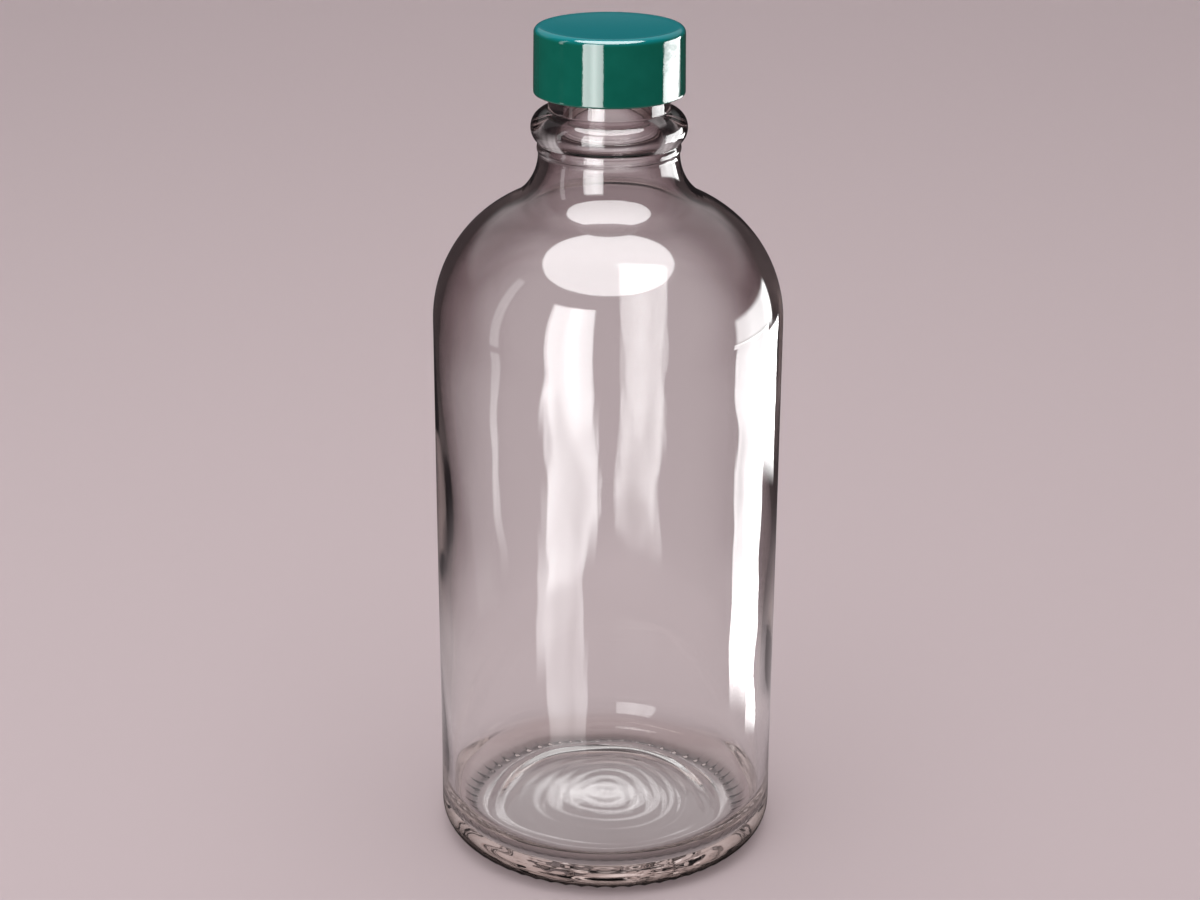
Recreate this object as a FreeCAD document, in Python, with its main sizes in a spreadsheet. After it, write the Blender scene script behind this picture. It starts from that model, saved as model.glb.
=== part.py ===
import FreeCAD
import Part
import Sketcher
import math
import os

from FreeCAD import Vector

# Driving sizes in millimetres: alias, value, what it is
SIZES = [
    ("body_diameter", 74.0, "outside of the straight body"),
    ("wall", 2.4, "glass thickness of body, shoulder and neck"),
    ("glass_height", 178.5, "bearing ring to lip"),
    ("shoulder_arc", 28.2, "radius of the round shoulder"),
    ("neck_blend", 11.7, "radius of the hollow curve under the neck"),
    ("neck_length", 23.25, "top of the hollow curve to the lip"),
    ("neck_step", 2.15, "how much wider the neck is than the finish, on the radius"),
    ("heel_arc", 6.0, "outside radius at the foot"),
    ("bearing_width", 2.6, "flat ring that the bottle stands on"),
    ("push_up", 2.8, "height of the hollow under the base"),
    ("base_glass", 3.4, "glass thickness at the middle of the base"),
    ("floor_edge", 4.5, "height of the inside floor at its edge"),
    ("inner_heel_arc", 9.0, "inside radius at the foot"),
    ("ring_step", 0.3, "how far the faint ring stands out from the neck"),
    ("ring_height", 2.0, "height of the faint ring under the bead"),
    ("bead_step", 1.55, "how far the transfer bead stands out from the neck"),
    ("bead_drop", 18.0, "lip to the widest part of the bead"),
    ("bead_upper", 3.8, "height of the roll above the widest part"),
    ("bead_lower", 3.1, "height of the roll below the widest part"),
    ("finish_diameter", 25.0, "neck finish between the threads"),
    ("finish_wall", 3.3, "glass thickness of the finish"),
    ("bore_depth", 14.0, "length of the straight bore"),
    ("lip_arc", 1.3, "outer edge of the lip"),
    ("mouth_arc", 0.9, "inner edge of the lip"),
    ("thread_depth", 1.2, "how far the glass thread stands out from the finish"),
    ("thread_drop", 2.7, "lip to the upper end of the thread"),
    ("thread_root", 0.2, "how deep a thread is rooted in its wall"),
    ("pitch", 4.233, "thread lead, six turns to the inch"),
    ("cap_height", 13.7, "height of the screw cap"),
    ("cap_wall", 1.55, "thickness of the cap's skirt"),
    ("cap_top", 1.6, "thickness of the cap's top"),
    ("cap_edge", 1.3, "rounded top edge of the cap"),
    ("cap_rim", 0.4, "rounded bottom edge of the cap"),
    ("cap_draft", 0.15, "how much narrower the cap is at the top, on the radius"),
    ("cap_thread_depth", 1.0, "how far the cap's thread stands in from its skirt"),
    ("thread_gap", 0.35, "radial clearance between the threads"),
    ("liner_thickness", 1.2, "sealing disc in the cap"),
    ("liner_gap", 0.3, "radial clearance round the sealing disc"),
]

GLASS_TURNS = 1.3        # length of the glass thread
CAP_TURNS = 1.5          # length of the cap's thread
FIRST_CAP_TURN = 0.25    # where the cap's thread starts, along the glass thread's helix
FADE_TURNS = 0.16        # part of a turn over which a thread's end sinks into its wall
STEPS_A_TURN = 24        # points of a thread's path in one turn
SWEEP_CLOSENESS = 0.05   # how near the thread's faces keep to the exact sweep
SWEEP_DEGREE = 4         # degree of the thread's faces
SWEEP_SPANS = 30         # most spans of a thread's face
CREST_SHARE = 0.14       # half of a thread's crest, as a share of the pitch
FOOT_SHARE = 0.26        # half of a thread's foot, as a share of the pitch

doc = FreeCAD.newDocument("boston_round_bottle")
sheet = doc.addObject("Spreadsheet::Sheet", "sizes")
for row, (alias, value, note) in enumerate(SIZES, start=1):
    sheet.set("A%d" % row, alias)
    sheet.set("B%d" % row, str(value))
    sheet.set("C%d" % row, note)
    sheet.setAlias("B%d" % row, alias)
doc.recompute()


def size(alias):
    """The value of one cell of the sheet."""
    return float(sheet.get(alias))


def origin_feature(body, role):
    """A plane or axis of the body's own origin."""
    for feature in body.Origin.OriginFeatures:
        if feature.Role == role:
            return feature
    raise ValueError(role)


def with_sheet(expression):
    """Words of the sheet get the sheet's name in front, so that an expression can stay short."""
    aliases = sorted((alias for alias, _, _ in SIZES), key=len, reverse=True)
    out = ""
    place = 0
    while place < len(expression):
        word = next((a for a in aliases if expression.startswith(a, place)), None)
        before = expression[place - 1] if place else " "
        if word and not (before.isalnum() or before == "_"):
            out += "sizes." + word
            place += len(word)
        else:
            out += expression[place]
            place += 1
    return out


def arc_through(start, end, radius, turn):
    """Arc of a radius between two points: turn 1 runs anticlockwise, -1 clockwise."""
    chord = end - start
    half = chord.Length / 2
    rise = math.sqrt(max(radius * radius - half * half, 0.0))
    normal = Vector(-chord.y, chord.x, 0).normalize() * turn
    centre = (start + end) / 2 + normal * rise
    circle = Part.Circle(centre, Vector(0, 0, 1), radius)
    first = math.atan2(start.y - centre.y, start.x - centre.x)
    last = math.atan2(end.y - centre.y, end.x - centre.x)
    if turn < 0:
        first, last = last, first
    return Part.ArcOfCircle(circle, first, last)


def turned_body(name, outline):
    """A body of revolution about Z from a closed outline.

    Each step of the outline is (radius, height) with an optional arc that leads on to the next step,
    written as (arc radius, turn)."""
    body = doc.addObject("PartDesign::Body", name)
    sketch = body.newObject("Sketcher::SketchObject", name + "_outline")
    sketch.AttachmentSupport = [(origin_feature(body, "XZ_Plane"), "")]
    sketch.MapMode = "FlatFace"
    doc.recompute()
    steps = []
    for step in outline:
        x_text, z_text = with_sheet(step[0]), with_sheet(step[1])
        place = Vector(float(sketch.evalExpression(x_text)), float(sketch.evalExpression(z_text)), 0)
        steps.append((x_text, z_text, place, step[2:]))
    starts = []
    for index, (_, _, start, arc) in enumerate(steps):
        end = steps[(index + 1) % len(steps)][2]
        if arc:
            radius_text = with_sheet(arc[0])
            radius = float(sketch.evalExpression(radius_text))
            edge = sketch.addGeometry(arc_through(start, end, radius, arc[1]), False)
            constraint = sketch.addConstraint(Sketcher.Constraint("Radius", edge, radius))
            sketch.setExpression("Constraints[%d]" % constraint, radius_text)
            starts.append((edge, 1, 2) if arc[1] > 0 else (edge, 2, 1))
        else:
            edge = sketch.addGeometry(Part.LineSegment(start, end), False)
            starts.append((edge, 1, 2))
    for index, (edge, first, _) in enumerate(starts):
        before, _, last = starts[index - 1]
        sketch.addConstraint(Sketcher.Constraint("Coincident", before, last, edge, first))
        x_text, z_text, place, _ = steps[index]
        for kind, text, value, axis in (("DistanceX", x_text, place.x, -2), ("DistanceY", z_text, place.y, -1)):
            if text == "0":
                sketch.addConstraint(Sketcher.Constraint("PointOnObject", edge, first, axis))
            else:
                constraint = sketch.addConstraint(Sketcher.Constraint(kind, -1, 1, edge, first, value))
                sketch.setExpression("Constraints[%d]" % constraint, text)
    turned = body.newObject("PartDesign::Revolution", name + "_turned")
    turned.Profile = sketch
    turned.ReferenceAxis = (sketch, ["V_Axis"])
    turned.Angle = 360
    body.Tip = turned
    doc.recompute()
    return body


def thread(name, wall_radius, height_of_crest, start_height, first_turn, turns):
    """A helical ridge on a round wall, whose ends sink into the wall.

    The path climbs one pitch a turn; the ridge is a flat-topped section swept along it."""
    lead = size("pitch")
    path_points = []
    count = int(round(turns * STEPS_A_TURN))
    for index in range(count + 1):
        turn = turns * index / count
        share = min(1.0, min(turn, turns - turn) / FADE_TURNS)
        sunk = 1 - share * share * (3 - 2 * share)
        radius = wall_radius - height_of_crest * sunk
        angle = 2 * math.pi * (first_turn + turn)
        height = start_height + lead * (first_turn + turn)
        path_points.append(Vector(radius * math.cos(angle), radius * math.sin(angle), height))
    curve = Part.BSplineCurve()
    curve.interpolate(path_points)
    path = Part.Wire([curve.toShape()])
    angle = 2 * math.pi * first_turn
    out = Vector(math.cos(angle), math.sin(angle), 0)
    deep = out * math.copysign(size("thread_root"), -height_of_crest)
    crest = out * height_of_crest
    foot_half = Vector(0, 0, lead * FOOT_SHARE)
    crest_half = Vector(0, 0, lead * CREST_SHARE)
    base = path_points[0]
    section = [base + deep - foot_half, base - foot_half, base + crest - crest_half,
               base + crest + crest_half, base + foot_half, base + deep + foot_half]
    sweep = Part.BRepOffsetAPI.MakePipeShell(path)
    sweep.setBiNormalMode(Vector(0, 0, 1))
    sweep.setTolerance(SWEEP_CLOSENESS, SWEEP_CLOSENESS, SWEEP_CLOSENESS)
    sweep.setMaxDegree(SWEEP_DEGREE)
    sweep.setMaxSegments(SWEEP_SPANS)
    sweep.add(Part.makePolygon(section + section[:1]))
    sweep.build()
    sweep.makeSolid()
    ridge = doc.addObject("Part::Feature", name)
    ridge.Shape = sweep.shape()
    return ridge


def joined(name, pieces):
    """Several shapes as one piece."""
    union = doc.addObject("Part::MultiFuse", name)
    union.Shapes = pieces
    union.Label = name
    doc.recompute()
    return union


# Radii and heights that more than one step or piece uses, in the sheet's words
BODY = "(body_diameter / 2)"
INNER = "(body_diameter / 2 - wall)"
FINISH = "(finish_diameter / 2)"
NECK = "(finish_diameter / 2 + neck_step)"
BEAD = "(finish_diameter / 2 + neck_step + bead_step)"
BORE = "(finish_diameter / 2 - finish_wall)"
NECK_START = "(glass_height - neck_length)"
BEAD_LEVEL = "(glass_height - bead_drop)"
BEAD_OVER = "(neck_step + bead_step)"
ACROSS = "(finish_diameter / 2 + neck_step + neck_blend - body_diameter / 2 + shoulder_arc)"
ARCS = "(shoulder_arc + neck_blend)"
RISE = "sqrt(%s ^ 2 - %s ^ 2)" % (ARCS, ACROSS)
SHOULDER_START = "(glass_height - neck_length - %s)" % RISE
FOOT = "(body_diameter / 2 - heel_arc)"
HOLLOW = "(body_diameter / 2 - heel_arc - bearing_width)"
FLOOR = "(body_diameter / 2 - wall - inner_heel_arc)"
FLOOR_RISE = "(push_up + base_glass - floor_edge)"
CAP_CEILING = "(glass_height + liner_thickness)"
CAP_CREST = "(glass_height + liner_thickness + cap_top)"
CAP_LOW = "(glass_height + liner_thickness + cap_top - cap_height)"
CAP_INSIDE = "(finish_diameter / 2 + thread_depth + thread_gap)"
CAP_OUTSIDE = "(finish_diameter / 2 + thread_depth + thread_gap + cap_wall)"
CAP_SHOULDER = "(finish_diameter / 2 + thread_depth + thread_gap + cap_wall - cap_draft)"


def cap_arc(width, height):
    """Radius of an arc that leaves its widest point upright and goes in by width over height."""
    return "((%s) ^ 2 + (%s) ^ 2) / (2 * (%s))" % (width, height, width)


def on_both_arcs(radius):
    """The point where the shoulder's arc of this radius passes into the hollow curve of the neck."""
    return ("body_diameter / 2 - shoulder_arc + (%s) * %s / %s" % (radius, ACROSS, ARCS),
            "%s + (%s) * %s / %s" % (SHOULDER_START, radius, RISE, ARCS))


def glass_thread_start():
    """Height of the glass thread's lower end."""
    return size("glass_height") - size("thread_drop") - size("pitch") * GLASS_TURNS


def bottle():
    """The blown glass: foot, body, shoulder, neck with its bead, and the threaded finish."""
    outline = [
        ("0", "push_up", cap_arc("push_up", HOLLOW), -1),
        (HOLLOW, "0"),
        (FOOT, "0", "heel_arc", 1),
        (BODY, "heel_arc"),
        (BODY, SHOULDER_START, "shoulder_arc", 1),
        (*on_both_arcs("shoulder_arc"), "neck_blend", -1),
        (NECK, NECK_START, cap_arc("ring_step", "ring_height / 2"), 1),
        (NECK, NECK_START + " + ring_height"),
        (NECK, BEAD_LEVEL + " - bead_lower", cap_arc("bead_step", "bead_lower"), 1),
        (BEAD, BEAD_LEVEL, cap_arc(BEAD_OVER, "bead_upper"), 1),
        (FINISH, BEAD_LEVEL + " + bead_upper"),
        (FINISH, "glass_height - lip_arc", "lip_arc", 1),
        (FINISH + " - lip_arc", "glass_height"),
        (BORE + " + mouth_arc", "glass_height", "mouth_arc", 1),
        (BORE, "glass_height - mouth_arc"),
        (BORE, "glass_height - bore_depth"),
        (NECK + " - wall", NECK_START, "neck_blend + wall", 1),
        (*on_both_arcs("shoulder_arc - wall"), "shoulder_arc - wall", -1),
        (INNER, SHOULDER_START),
        (INNER, "floor_edge + inner_heel_arc", "inner_heel_arc", -1),
        (FLOOR, "floor_edge", cap_arc(FLOOR_RISE, FLOOR), 1),
        ("0", "push_up + base_glass"),
    ]
    blank = turned_body("bottle_glass", outline)
    ridge = thread("glass_thread", size("finish_diameter") / 2, size("thread_depth"),
                   glass_thread_start(), 0.0, GLASS_TURNS)
    return joined("bottle", [blank, ridge])


def cap():
    """The moulded cap: a plain skirt with a rounded top edge, and its own thread inside.

    The cap's thread follows the glass thread's helix, half a pitch below it."""
    outline = [
        (CAP_INSIDE, CAP_LOW + " + cap_rim"),
        (CAP_INSIDE + " + cap_rim", CAP_LOW),
        (CAP_OUTSIDE + " - cap_rim", CAP_LOW, "cap_rim", 1),
        (CAP_OUTSIDE, CAP_LOW + " + cap_rim"),
        (CAP_SHOULDER, CAP_CREST + " - cap_edge", "cap_edge", 1),
        (CAP_SHOULDER + " - cap_edge", CAP_CREST),
        ("0", CAP_CREST),
        ("0", CAP_CEILING),
        (CAP_INSIDE, CAP_CEILING),
    ]
    shell = turned_body("cap_shell", outline)
    inside = size("finish_diameter") / 2 + size("thread_depth") + size("thread_gap")
    ridge = thread("cap_thread", inside, -size("cap_thread_depth"),
                   glass_thread_start() - size("pitch") / 2, FIRST_CAP_TURN, CAP_TURNS)
    return joined("cap", [shell, ridge])


def cap_liner():
    """The sealing disc between the lip and the cap's top."""
    disc = doc.addObject("Part::Cylinder", "cap_liner")
    disc.Label = "cap_liner"
    disc.setExpression("Radius", with_sheet(CAP_INSIDE + " - liner_gap"))
    disc.setExpression("Height", with_sheet("liner_thickness"))
    disc.setExpression(".Placement.Base.z", with_sheet("glass_height"))
    doc.recompute()
    return disc


nodes = [bottle(), cap(), cap_liner()]
doc.recompute()

for item in doc.Objects:
    if "Invalid" in item.State or "Error" in item.State:
        raise RuntimeError("%s failed: %s" % (item.Name, item.State))
for node in nodes:
    if node.Shape.isNull() or not node.Shape.isValid() or len(node.Shape.Solids) != 1:
        raise RuntimeError("%s has no sound single solid" % node.Label)

os.makedirs("parts", exist_ok=True)
for node in nodes:
    node.Shape.exportStep("parts/%s.step" % node.Label)
    box = node.Shape.BoundBox
    print(node.Label, "volume", round(node.Shape.Volume, 1), "z", round(box.ZMin, 3), round(box.ZMax, 3))
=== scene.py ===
"""Looks of a clear glass boston round bottle with a green screw cap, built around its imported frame."""
import math

import bpy
import numpy as np
from bpy.props import FloatProperty, FloatVectorProperty, IntProperty, PointerProperty
from mathutils import Matrix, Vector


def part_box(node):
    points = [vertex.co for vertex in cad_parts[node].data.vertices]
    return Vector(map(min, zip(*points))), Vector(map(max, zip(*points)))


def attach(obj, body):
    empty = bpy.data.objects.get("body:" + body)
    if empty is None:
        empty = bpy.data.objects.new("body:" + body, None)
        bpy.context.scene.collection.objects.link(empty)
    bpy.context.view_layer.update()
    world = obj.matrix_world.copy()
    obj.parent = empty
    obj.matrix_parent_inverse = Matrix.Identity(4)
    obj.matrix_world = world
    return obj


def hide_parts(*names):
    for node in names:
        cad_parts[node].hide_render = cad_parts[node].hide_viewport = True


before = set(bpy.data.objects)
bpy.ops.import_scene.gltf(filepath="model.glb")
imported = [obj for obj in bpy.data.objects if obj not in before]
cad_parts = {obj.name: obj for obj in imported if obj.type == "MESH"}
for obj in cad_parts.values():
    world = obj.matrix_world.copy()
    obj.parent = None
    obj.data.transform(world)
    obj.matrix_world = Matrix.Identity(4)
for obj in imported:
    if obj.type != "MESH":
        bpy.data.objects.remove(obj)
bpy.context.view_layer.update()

bl_info = {
    "name": "Boston Round Bottle",
    "version": (1, 0, 0),
    "blender": (4, 5, 0),
    "location": "View3D > Sidebar > Bottle",
    "description": "Builds a clear glass bottle with a threaded neck, a screw cap and its sealing disc",
    "category": "Add Mesh",
}

MM = 0.001
BOTTLE_LOW, BOTTLE_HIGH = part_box("bottle")
CAP_LOW, CAP_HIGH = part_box("cap")
LINER_LOW, LINER_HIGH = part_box("cap_liner")


class GlassSettings(bpy.types.PropertyGroup):
    """Sizes of the blown bottle that aren't read from the frame, the tint of its glass and its painted
    shade.
    """
    wall: FloatProperty(name="Wall", description="Glass thickness of body and shoulder", default=2.4 * MM,
                        unit="LENGTH")
    shoulder_arc: FloatProperty(name="Shoulder arc", description="Radius of the round shoulder",
                                default=28.2 * MM, unit="LENGTH")
    neck_blend: FloatProperty(name="Neck blend", description="Radius of the hollow curve under the neck",
                              default=11.7 * MM, unit="LENGTH")
    neck_length: FloatProperty(name="Neck length", description="Top of the hollow curve to the lip",
                               default=23.25 * MM, unit="LENGTH")
    neck_radius: FloatProperty(name="Neck radius", description="Outside radius below the bead",
                               default=14.65 * MM, unit="LENGTH")
    heel_arc: FloatProperty(name="Heel arc", description="Outside radius at the foot", default=6.0 * MM,
                            unit="LENGTH")
    bearing_width: FloatProperty(name="Bearing width", description="Flat ring that the bottle stands on",
                                 default=2.6 * MM, unit="LENGTH")
    push_up: FloatProperty(name="Push-up", description="Height of the hollow under the base",
                           default=2.8 * MM, unit="LENGTH")
    base_glass: FloatProperty(name="Base glass", description="Glass thickness at the middle of the base",
                              default=3.4 * MM, unit="LENGTH")
    floor_edge: FloatProperty(name="Floor edge", description="Height of the inside floor at its edge",
                              default=4.5 * MM, unit="LENGTH")
    inner_heel_arc: FloatProperty(name="Inner heel arc", description="Inside radius at the foot",
                                  default=9.0 * MM, unit="LENGTH")
    bead_step: FloatProperty(name="Bead step",
                             description="How far the transfer bead stands out from the neck",
                             default=1.55 * MM, unit="LENGTH")
    bead_drop: FloatProperty(name="Bead drop", description="Lip to the widest part of the bead",
                             default=18.0 * MM, unit="LENGTH")
    bead_upper: FloatProperty(name="Bead upper", description="Height of the roll above its widest part",
                              default=3.8 * MM, unit="LENGTH")
    bead_lower: FloatProperty(name="Bead lower", description="Height of the roll below its widest part",
                              default=3.1 * MM, unit="LENGTH")
    ring_step: FloatProperty(name="Ring step", description="How far the faint ring stands out",
                             default=0.3 * MM, unit="LENGTH")
    ring_height: FloatProperty(name="Ring height", description="Height of the faint ring", default=2.0 * MM,
                               unit="LENGTH")
    finish_radius: FloatProperty(name="Finish radius", description="Neck finish between the threads",
                                 default=12.5 * MM, unit="LENGTH")
    bore_radius: FloatProperty(name="Bore radius", description="Mouth and neck bore", default=9.2 * MM,
                               unit="LENGTH")
    bore_depth: FloatProperty(name="Bore depth", description="Length of the straight bore",
                              default=14.0 * MM, unit="LENGTH")
    lip_arc: FloatProperty(name="Lip arc", description="Outer edge of the lip", default=1.3 * MM,
                           unit="LENGTH")
    mouth_arc: FloatProperty(name="Mouth arc", description="Inner edge of the lip", default=0.9 * MM,
                             unit="LENGTH")
    thread_depth: FloatProperty(name="Thread depth", description="How far the glass thread stands out",
                                default=1.2 * MM, unit="LENGTH")
    thread_drop: FloatProperty(name="Thread drop", description="Lip to the upper end of the thread",
                               default=2.7 * MM, unit="LENGTH")
    thread_turns: FloatProperty(name="Thread turns", description="Length of the glass thread", default=1.3)
    pitch: FloatProperty(name="Pitch", description="Thread lead", default=4.233 * MM, unit="LENGTH")
    inner_wave: FloatProperty(name="Inner wave", description="How far the inside of the wall wanders",
                              default=0.32 * MM, unit="LENGTH")
    outer_wave: FloatProperty(name="Outer wave",
                              description="How far the outside of the wall sinks in places",
                              default=0.1 * MM, unit="LENGTH")
    base_ripple: FloatProperty(name="Base ripple", description="Height of the rings in the base",
                               default=0.1 * MM, unit="LENGTH")
    ripple_spacing: FloatProperty(name="Ripple spacing", description="From ring to ring in the base",
                                  default=3.4 * MM, unit="LENGTH")
    crease_height: FloatProperty(name="Crease height",
                                 description="Height of the ridge round the inside floor", default=0.5 * MM,
                                 unit="LENGTH")
    knurl_depth: FloatProperty(name="Knurl depth", description="Depth of the notches round the foot",
                               default=0.42 * MM, unit="LENGTH")
    knurl_count: IntProperty(name="Knurl count", description="Notches round the foot", default=62)
    columns: IntProperty(name="Columns", description="Grid columns round the bottle", default=248)
    tint: FloatVectorProperty(name="Tint", description="Colour of the glass surface",
                              default=(0.998, 1.0, 0.998), subtype="COLOR")
    depth_tint: FloatVectorProperty(name="Depth tint", description="Colour that thick glass takes",
                                    default=(0.90, 0.81, 0.78), subtype="COLOR")
    depth_strength: FloatProperty(name="Depth strength", description="How fast thick glass colours",
                                  default=9.0)
    shade: FloatVectorProperty(name="Shade", description="Colour of the glass's own shadow",
                               default=(0.982, 0.984, 0.982), subtype="COLOR")
    foot_shade: FloatVectorProperty(name="Foot shade",
                                    description="Colour of the shadow under the foot's edge",
                                    default=(0.30, 0.28, 0.28), subtype="COLOR")
    # Painted shade: the glass goes dark where it is seen edge on, above the lower body
    edge_shade_tint: FloatVectorProperty(name="Edge tint",
                                   description="Colour of the glass where it is seen edge on",
                                   default=(0.43, 0.36, 0.37), subtype="COLOR")
    # Partly the thick glass's own colour, partly painted shade darkening the heel
    heel_shade_tint: FloatVectorProperty(name="Heel tint", description="Colour of the thick glass at the foot",
                                   default=(0.80, 0.72, 0.69), subtype="COLOR")
    # Painted contact shadow along the foot's outline, and painted shade in the notches
    contact_shadow_tint: FloatVectorProperty(name="Contact tint",
                                      description="Colour of the foot's outline on the floor",
                                      default=(0.012, 0.01, 0.01), subtype="COLOR")


class CapSettings(bpy.types.PropertyGroup):
    """Sizes and colours of the screw cap and its sealing disc."""
    wall: FloatProperty(name="Wall", description="Thickness of the skirt", default=1.55 * MM, unit="LENGTH")
    top: FloatProperty(name="Top", description="Thickness of the top", default=1.6 * MM, unit="LENGTH")
    edge: FloatProperty(name="Edge", description="Rounded top edge", default=1.3 * MM, unit="LENGTH")
    rim: FloatProperty(name="Rim", description="Rounded bottom edge", default=0.4 * MM, unit="LENGTH")
    draft: FloatProperty(name="Draft", description="How much narrower the top is, on the radius",
                         default=0.15 * MM, unit="LENGTH")
    thread_depth: FloatProperty(name="Thread depth", description="How far the thread stands in",
                                default=1.0 * MM, unit="LENGTH")
    thread_turns: FloatProperty(name="Thread turns", description="Length of the cap's thread", default=1.5)
    first_turn: FloatProperty(name="First turn", description="Where the cap's thread starts on the helix",
                              default=0.25)
    columns: IntProperty(name="Columns", description="Grid columns round the cap", default=192)
    colour: FloatVectorProperty(name="Colour", description="Green of the moulded cap",
                                default=(0.003, 0.140, 0.095), subtype="COLOR")
    # Painted reflection: the top is lighter and bluer where it stands for the light overhead
    top_reflection_colour: FloatVectorProperty(name="Top colour", description="Bluer green of the cap's top",
                                    default=(0.004, 0.235, 0.26), subtype="COLOR")
    face: FloatVectorProperty(name="Face", description="White facing of the sealing disc",
                              default=(0.84, 0.84, 0.82), subtype="COLOR")
    backing: FloatVectorProperty(name="Backing", description="Backing of the sealing disc",
                                 default=(0.62, 0.58, 0.50), subtype="COLOR")
    facing: FloatProperty(name="Facing", description="Thickness of the white facing", default=0.25 * MM,
                          unit="LENGTH")


class StageSettings(bpy.types.PropertyGroup):
    """Camera, floor and light."""
    distance: FloatProperty(name="Distance", description="Camera in front of the axis", default=486.2 * MM,
                            unit="LENGTH")
    height: FloatProperty(name="Height", description="Camera above the floor", default=278.3 * MM,
                          unit="LENGTH")
    aside: FloatProperty(name="Aside", description="Camera beside the axis", default=-1.57 * MM,
                         unit="LENGTH")
    pitch: FloatProperty(name="Pitch", description="How far the camera looks down", default=0.371,
                         unit="ROTATION")
    roll: FloatProperty(name="Roll", description="How far the camera is rolled", default=math.radians(0.27),
                        unit="ROTATION")
    focal: FloatProperty(name="Focal length", description="Lens on a 36 mm sensor, in millimetres",
                         default=72.44)
    floor: FloatVectorProperty(name="Floor", description="Pale colour of the floor",
                               default=(0.54, 0.455, 0.47), subtype="COLOR")
    surround: FloatVectorProperty(name="Surround", description="What shiny surfaces see between the lights",
                                  default=(0.03, 0.024, 0.026), subtype="COLOR")
    dusk: FloatVectorProperty(name="Dusk",
                              description="What is seen through the glass high above the floor",
                              default=(0.09, 0.065, 0.07), subtype="COLOR")
    table: FloatVectorProperty(name="Table",
                               description="What shiny surfaces see of the table around the bottle",
                               default=(0.56, 0.475, 0.49), subtype="COLOR")


class Value:
    """A number that varies over a surface. Sums, products and the like of it add Math nodes."""

    def __init__(self, nodes, socket):
        self.nodes = nodes
        self.socket = socket

    def math(self, operation, *others):
        return self.nodes.value("ShaderNodeMath", {"operation": operation}, (self,) + others)

    def __add__(self, other):
        return self.math("ADD", other)

    def __radd__(self, other):
        return self.math("ADD", other)

    def __sub__(self, other):
        return self.math("SUBTRACT", other)

    def __rsub__(self, other):
        return self.nodes.value("ShaderNodeMath", {"operation": "SUBTRACT"}, (other, self))

    def __mul__(self, other):
        return self.math("MULTIPLY", other)

    def __rmul__(self, other):
        return self.math("MULTIPLY", other)

    def __truediv__(self, other):
        return self.math("DIVIDE", other)

    def over(self, limit):
        """1 where the value is over the limit, 0 elsewhere."""
        return self.math("GREATER_THAN", limit)

    def rise(self, low, high):
        """0 below low, 1 above high, smooth between."""
        return self.nodes.value("ShaderNodeMapRange", {"interpolation_type": "SMOOTHSTEP"},
                                (self, low, high, 0.0, 1.0))

    def band(self, low, high, soft):
        """1 between low and high, with soft edges."""
        return self.rise(low - soft, low + soft) * (1.0 - self.rise(high - soft, high + soft))


class Nodes:
    """A node tree that is written as calls: one method for every node."""

    def __init__(self, tree):
        self.tree = tree
        tree.nodes.clear()

    def node(self, kind, settings=(), inputs=()):
        """A node of a kind, with its settings first, and its sockets by place or by name."""
        made = self.tree.nodes.new(kind)
        for name, setting in dict(settings).items():
            setattr(made, name, setting)
        pairs = inputs.items() if isinstance(inputs, dict) else enumerate(inputs)
        for key, given in pairs:
            if given is None:
                continue
            if isinstance(given, Value):
                self.tree.links.new(given.socket, made.inputs[key])
            elif isinstance(given, bpy.types.NodeSocket):
                self.tree.links.new(given, made.inputs[key])
            else:
                made.inputs[key].default_value = given
        return made

    def value(self, kind, settings=(), inputs=(), output=0):
        return Value(self, self.node(kind, settings, inputs).outputs[output])

    def split(self, vector):
        """The three parts of a vector."""
        parts = self.node("ShaderNodeSeparateXYZ", {}, (vector,))
        return [Value(self, socket) for socket in parts.outputs]

    def blend(self, share, first, second):
        """A colour between two."""
        mixed = self.node("ShaderNodeMix", {"data_type": "RGBA"}, {0: share, 6: first, 7: second})
        return mixed.outputs[2]

    def noise(self, place, scale, detail=2.0, roughness=0.5):
        """Soft noise between 0 and 1."""
        return self.value("ShaderNodeTexNoise", {}, {"Vector": place, "Scale": scale, "Detail": detail,
                                                     "Roughness": roughness})

    def bump(self, height, strength, distance):
        """A Normal from a height field in metres."""
        inputs = {"Strength": strength, "Distance": distance, "Height": height}
        return self.node("ShaderNodeBump", {}, inputs).outputs[0]


def colour4(colour):
    """A colour with full alpha."""
    return (colour[0], colour[1], colour[2], 1.0)


def dimmed(colour, share):
    """A share of a colour."""
    return tuple(share * channel for channel in colour)


def new_material(name):
    """An empty material and its node writer."""
    material = bpy.data.materials.new(name)
    material.use_nodes = True
    return material, Nodes(material.node_tree)


def arc(centre, radius, first, last, steps):
    """Points of a circle arc in (radius, height): centre plus radius, from the first angle to the last."""
    angles = np.radians(np.linspace(first, last, steps))
    return np.stack([centre[0] + radius * np.cos(angles), centre[1] + radius * np.sin(angles)], axis=1)


def run(start, end, steps):
    """Evenly spaced points of a straight line."""
    share = np.linspace(0.0, 1.0, steps)[:, None]
    return (1 - share) * np.array(start) + share * np.array(end)


def dome(start, end, steps):
    """Points whose height goes with the square of the radius, flat at the axis."""
    radius = np.linspace(start[0], end[0], steps)
    widest = max(start[0], end[0])
    axis_height = start[1] if start[0] < end[0] else end[1]
    rim_height = end[1] if start[0] < end[0] else start[1]
    return np.stack([radius, axis_height + (rim_height - axis_height) * (radius / widest) ** 2], axis=1)


def path_of(stretches):
    """One path from named stretches, without doubled points, and the stretch number of each point."""
    points = np.concatenate(stretches)
    owner = np.repeat(np.arange(len(stretches)), [len(stretch) for stretch in stretches])
    step = np.hypot(*np.diff(points, axis=0).T)
    keep = np.concatenate([[True], step > 1e-7])
    return points[keep], owner[keep]


def outward(points):
    """Unit normals of a path, to the right of its direction, from central differences."""
    along = np.gradient(points, axis=0)
    normal = np.stack([along[:, 1], -along[:, 0]], axis=1)
    return normal / np.linalg.norm(normal, axis=1)[:, None]


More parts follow.
